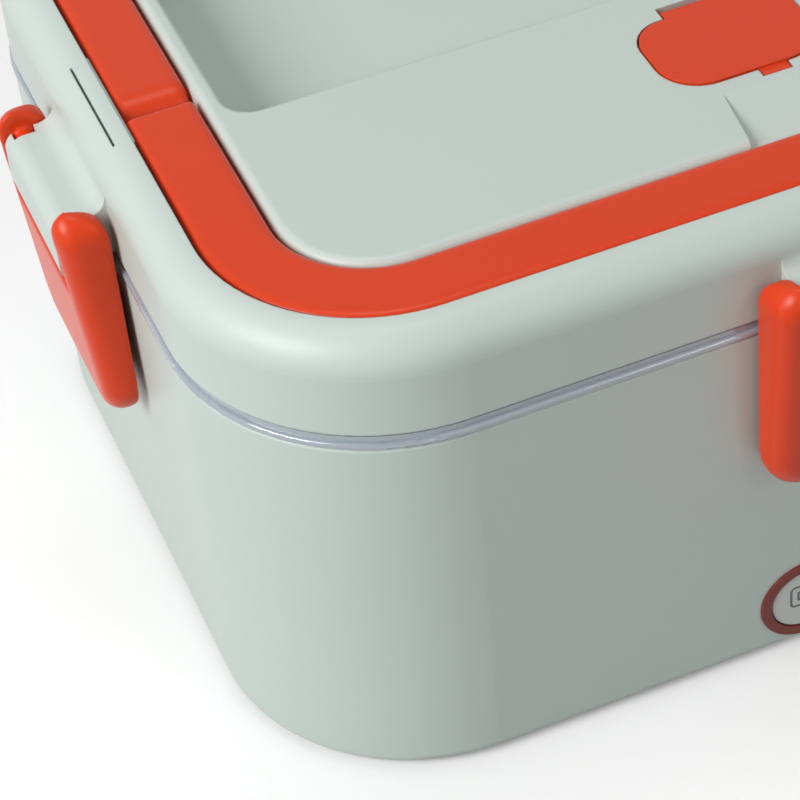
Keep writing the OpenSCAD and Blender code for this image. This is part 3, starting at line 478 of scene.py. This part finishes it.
# ---- mark on the mode key ----
# Pad-printed ink, a square within a rounded square, 0.03 mm thick: a matt grey with the pad's
# fine speckle in it.
ink, tree, shader, place = start_material("pad_print_ink_grey", Roughness=0.5)
speckle_mm = 0.3
speckle = add_node(tree, "ShaderNodeTexNoise", {"Vector": place, "Scale": 1000 / speckle_mm})
tint = add_node(tree, "ShaderNodeMix", {
    0: speckle.outputs["Fac"], 6: linear("#5F6663"), 7: linear("#6C7370")}, data_type="RGBA")
tree.links.new(tint.outputs[2], shader.inputs["Base Color"])
key_low, key_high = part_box("mode_key")
mark_left, mark_up = 0.002, 0.001  # from the key's middle to the mark's
mark_x = (key_low[0] + key_high[0]) / 2 - mark_left
mark_z = (key_low[2] + key_high[2]) / 2 + mark_up
mark_w, mark_line, mark_t = 0.0058, 0.0005, 0.00003
inner_w = mark_w * 0.45
least_corner = 0.0001
form = bmesh.new()


def square_line(w, corner):
    """Adds a closed square line, w wide over its outside, with five facets round each corner."""
    rings = []
    for inset in (0, mark_line):
        half, r = w / 2 - inset, max(corner - inset, least_corner)
        rings.append([(cx * (half - r) + r * math.cos(math.radians(a)),
                       cz * (half - r) + r * math.sin(math.radians(a)))
                      for cx, cz, first in ((1, 1, 0), (-1, 1, 90), (-1, -1, 180), (1, -1, 270))
                      for a in range(first, first + 91, 18)])
    layers = [[form.verts.new((mark_x + x, key_low[1] - y, mark_z + z)) for x, z in ring] for ring in rings
              for y in (0, mark_t)]
    for a, b in ((0, 1), (1, 3), (3, 2), (2, 0)):
        for i in range(len(layers[a])):
            j = (i + 1) % len(layers[a])
            form.faces.new((layers[a][i], layers[a][j], layers[b][j], layers[b][i]))


square_line(mark_w, corner=0.0012)
square_line(inner_w, corner=0.0004)
bmesh.ops.recalc_face_normals(form, faces=form.faces)
mark = bpy.data.objects.new("mode_mark", bpy.data.meshes.new("mode_mark"))
form.to_mesh(mark.data)
form.free()
mark.data.materials.append(ink)
bpy.context.collection.objects.link(mark)
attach(mark, "mode_button")

# ---- feet ----
# Pads of grey rubber, moulded and pressed over the case screws. Rubber from an unpolished tool is
# matt and hardly shines at its edges.
rubber = moulded("moulded_rubber_grey", "#6E706F", "#666867", "#7A7C7B",
                 roughness=0.75, grain_mm=0.6, relief_mm=0.012)
dress("feet", rubber)

# ---- floor and background ----
# A pale matt table of paper and a white surround. The camera sees both as white, straight or by
# way of glass or gloss, and the table fades to the surround's plain white with distance.
floor_half = 4
corners = [(-floor_half, -floor_half, 0), (floor_half, -floor_half, 0),
           (floor_half, floor_half, 0), (-floor_half, floor_half, 0)]
floor_mesh = bpy.data.meshes.new("floor")
floor_mesh.from_pydata(corners, [], [(0, 1, 2, 3)])
floor = bpy.data.objects.new("floor", floor_mesh)
bpy.context.collection.objects.link(floor)
white = (1, 1, 1, 1)


def seen_rays(tree):
    """1 for the rays that show the background itself, straight or by way of glass or gloss, else 0."""
    rays = add_node(tree, "ShaderNodeLightPath", {}).outputs
    straight = add_node(tree, "ShaderNodeMath", {
        0: rays["Is Camera Ray"], 1: rays["Is Transmission Ray"]}, operation="MAXIMUM")
    return add_node(tree, "ShaderNodeMath", {
        0: straight.outputs[0], 1: rays["Is Glossy Ray"]}, operation="MAXIMUM").outputs[0]


# For the rays that show it, the paper's own white gives way to an even glow with distance. Other
# rays meet a mid grey, so that little light comes back up to the box.
paper, tree, shader, place = start_material("floor_paper", Roughness=0.9, Emission_Color=white)
fibre_mm = 3.333
fade_start, fade_end = 0.25, 1.0   # distance from the box's middle
glow_near, glow_far = 0.12, 1.0
seen = seen_rays(tree)
fibre = add_node(tree, "ShaderNodeTexNoise", {"Vector": place, "Scale": 1000 / fibre_mm})
sheet = add_node(tree, "ShaderNodeMix", {
    0: fibre.outputs["Fac"], 6: linear("#FCFCFC"), 7: linear("#F8F8F8")}, data_type="RGBA")
reach = add_node(tree, "ShaderNodeVectorMath", {0: place}, operation="LENGTH")
far = add_node(tree, "ShaderNodeMapRange", {
    "Value": reach.outputs["Value"], "From Min": fade_start, "From Max": fade_end},
    interpolation_type="SMOOTHSTEP")
faded = add_node(tree, "ShaderNodeMix", {
    0: far.outputs["Result"], 6: sheet.outputs[2], 7: linear("#000000")}, data_type="RGBA")
shown = add_node(tree, "ShaderNodeMix", {0: seen, 6: linear("#9C9C9C"), 7: faded.outputs[2]},
                 data_type="RGBA")
glow = add_node(tree, "ShaderNodeMapRange", {
    "Value": far.outputs["Result"], "To Min": glow_near, "To Max": glow_far})
glow_seen = add_node(tree, "ShaderNodeMath", {0: glow.outputs["Result"], 1: seen}, operation="MULTIPLY")
tree.links.new(shown.outputs[2], shader.inputs["Base Color"])
tree.links.new(glow_seen.outputs[0], shader.inputs["Emission Strength"])
floor.data.materials.append(paper)

world = bpy.data.worlds.new("studio")
bpy.context.scene.world = world
world.use_nodes = True
background = world.node_tree.nodes["Background"]
background.inputs["Color"].default_value = white
light_on_box, light_seen = 0.27, 1.0
strength = add_node(world.node_tree, "ShaderNodeMapRange", {
    "Value": seen_rays(world.node_tree), "To Min": light_on_box, "To Max": light_seen})
world.node_tree.links.new(strength.outputs["Result"], background.inputs["Strength"])

# ---- lamps ----
# Three soft lamps in metres and watts: the key light high on the left, a weaker one overhead that
# fills the lid, and a small one in front that leaves a glint on the latches.
box_middle = (0, 0, 0.06)


def lamp(name, place, size, watts):
    """A square lamp that is aimed at the box's middle."""
    light = bpy.data.lights.new(name, "AREA")
    light.shape = "SQUARE"
    light.size = size
    light.energy = watts
    thing = bpy.data.objects.new(name, light)
    thing.location = place
    thing.rotation_euler = (Vector(box_middle) - Vector(place)).to_track_quat("-Z", "Y").to_euler()
    bpy.context.collection.objects.link(thing)


lamp("key_left", (-1.25, -0.4, 0.95), size=0.8, watts=18)
lamp("fill_top", (0.0, 0.15, 1.6), size=0.5, watts=3.3)
lamp("glint_front", (0.45, -1.1, 0.95), size=0.2, watts=1.1)
